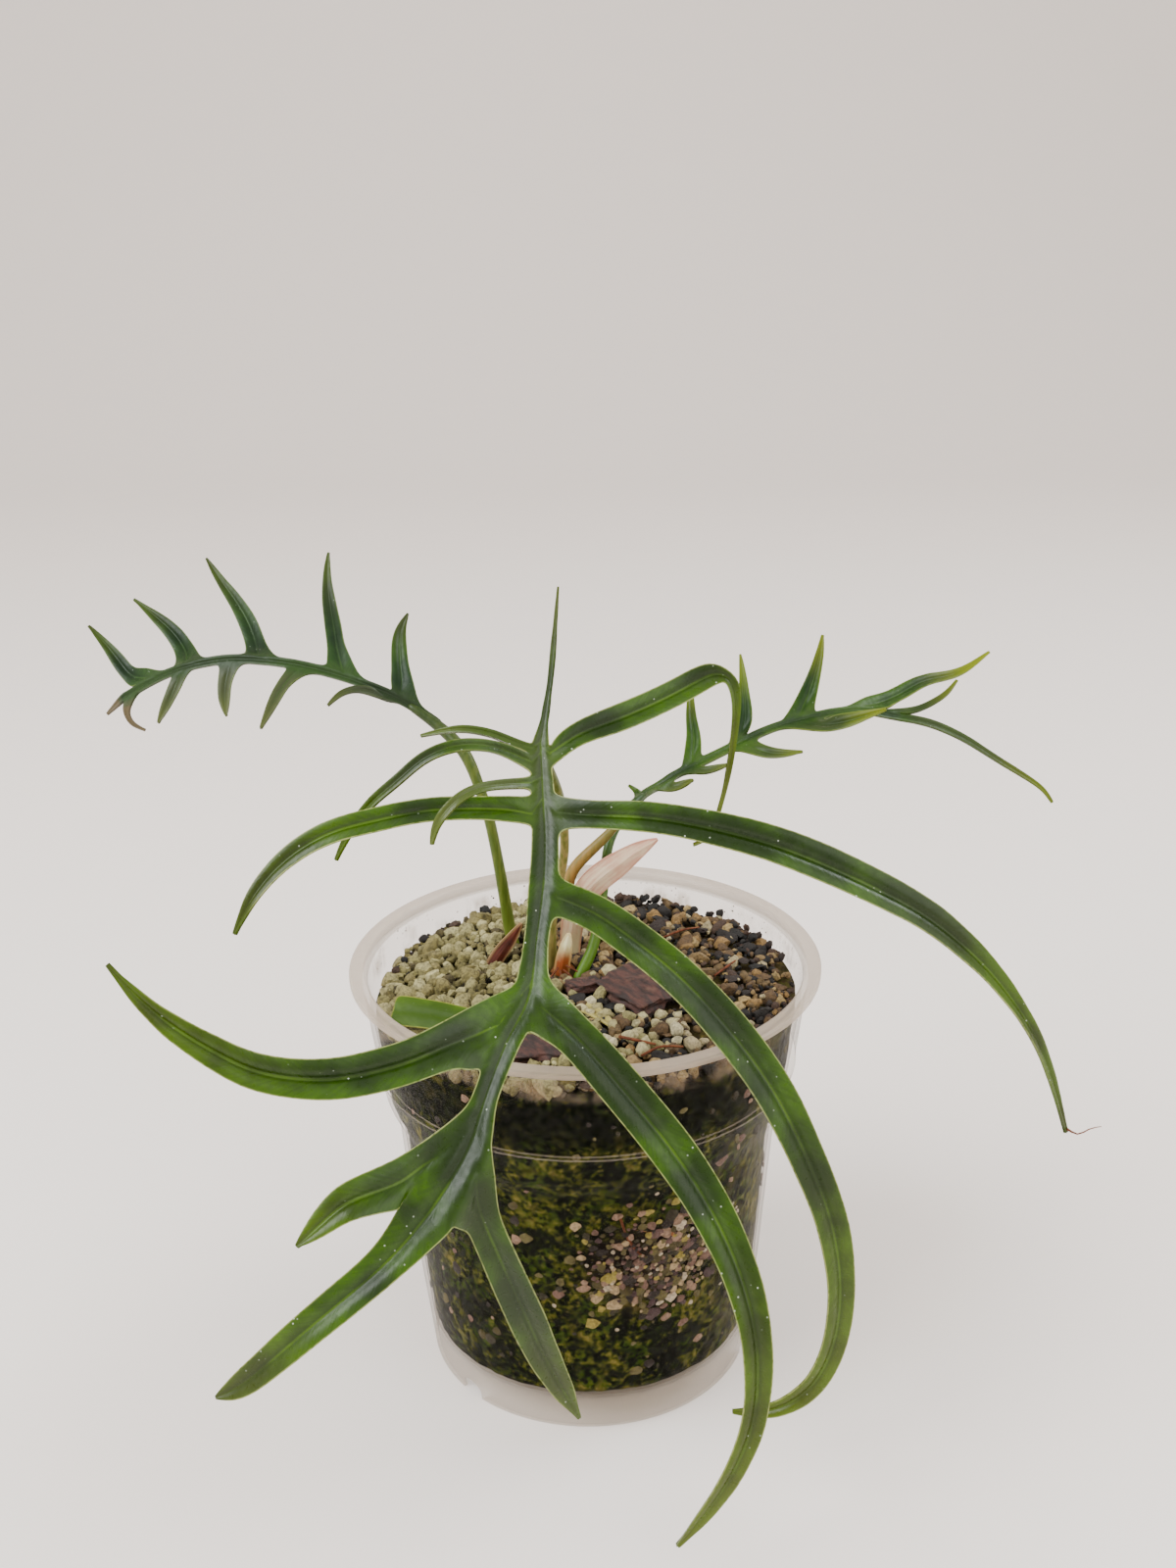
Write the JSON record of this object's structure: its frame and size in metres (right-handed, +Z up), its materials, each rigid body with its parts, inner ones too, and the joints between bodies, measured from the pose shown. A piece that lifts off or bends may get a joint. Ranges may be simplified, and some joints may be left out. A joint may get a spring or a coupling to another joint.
{
  "type": "potted philodendron tortum",
  "caption": "Small aroid house plant with narrow, deeply cut arching fronds, standing in a clear round nursery pot of bark mix topped with pale pumice.",
  "frame": {"origin": "on the surface that the pot stands on, at the middle of the plant's box, which is the pot's own axis to within 1 mm", "axes": "+Z up; -Y is the front, where the large frond hangs over the rim; +X to the right as seen from the front"},
  "size_m": [0.2797, 0.2035, 0.2102],
  "materials": {
    "clear_plastic": "clear, slightly frosted thin plastic with a pale rim",
    "pumice": "dry, rough, pale cream grains",
    "mix": "moist, dark, crumbly mix with moss and pebbles",
    "root": "matt, fibrous",
    "leaf": "smooth, waxy deep green with a pale margin and a yellow-green midrib",
    "old_leaf": "waxy bluish green with yellowish tips",
    "young_leaf": "smooth, tan to olive",
    "sheath": "thin, papery, cream to salmon pink",
    "old_sheath": "dry, pale yellow, orange-brown at the foot",
    "husk": "dry, papery red-brown",
    "cut_lobe": "fresh green with a brown cut end",
    "dry_leaf": "dry yellow with a dark tip",
    "bark": "rough, flaky purple-brown"
  },
  "bodies": {
    "root": {"pot": "clear_plastic", "pumice_dressing": "pumice", "potting_mix": "mix", "rootstock": "root", "frond_front": "leaf", "frond_left": "old_leaf", "frond_right": "old_leaf", "young_leaf": "young_leaf", "new_sheath": "sheath", "old_sheath": "old_sheath", "husk_left": "husk", "husk_right": "husk", "trimmed_lobe": "cut_lobe", "leaf_scrap": "dry_leaf", "bark_chip_1": "bark", "bark_chip_2": "bark", "bark_chip_3": "bark"}
  },
  "joints": []
}
